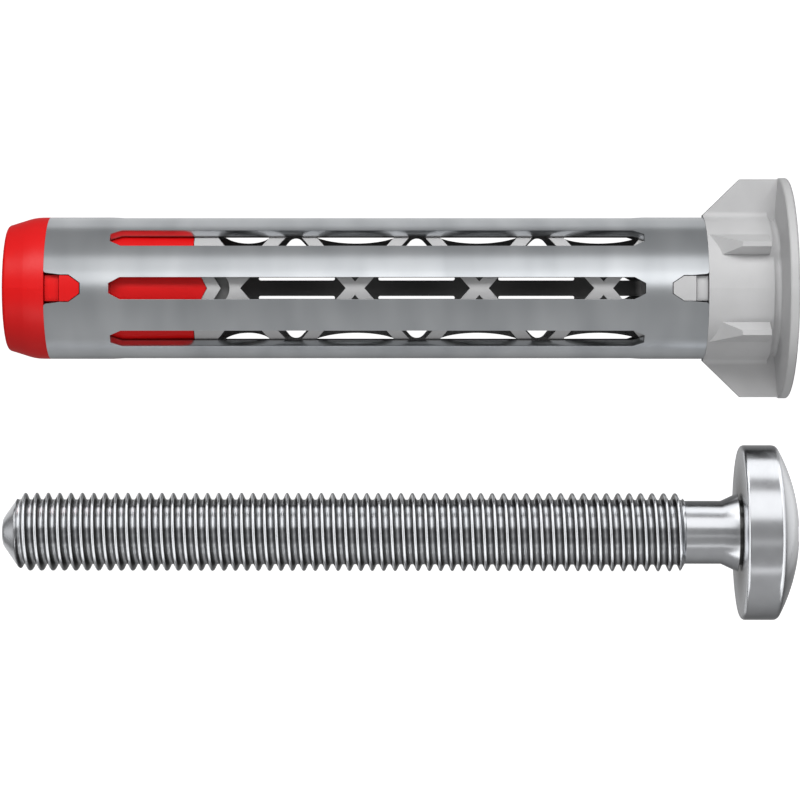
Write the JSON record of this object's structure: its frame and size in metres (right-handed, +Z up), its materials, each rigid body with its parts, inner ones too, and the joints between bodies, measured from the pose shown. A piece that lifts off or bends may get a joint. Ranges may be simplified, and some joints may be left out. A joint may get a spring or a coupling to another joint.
{
  "type": "metal hollow wall anchor",
  "caption": "Slotted steel anchor for hollow walls: red nylon end nut, nylon folding lattice with a winged flange, and a machine screw laid beside it.",
  "frame": {"origin": "middle of the footprint on the floor that the anchor and the screw lie on", "axes": "+X along both pieces towards the flange and the head, +Y from the screw to the anchor, +Z up"},
  "size_m": [0.0516, 0.0286, 0.0142],
  "materials": {
    "zinc_steel": "zinc-plated, cloudy satin",
    "red_nylon": "satin moulded nylon",
    "grey_nylon": "finely textured moulded nylon",
    "bright_zinc": "bright zinc plating"
  },
  "bodies": {
    "root": {"steel_sleeve": "zinc_steel", "nylon_end_nut": "red_nylon", "flange_lattice": "grey_nylon", "machine_screw": "bright_zinc"}
  },
  "joints": []
}
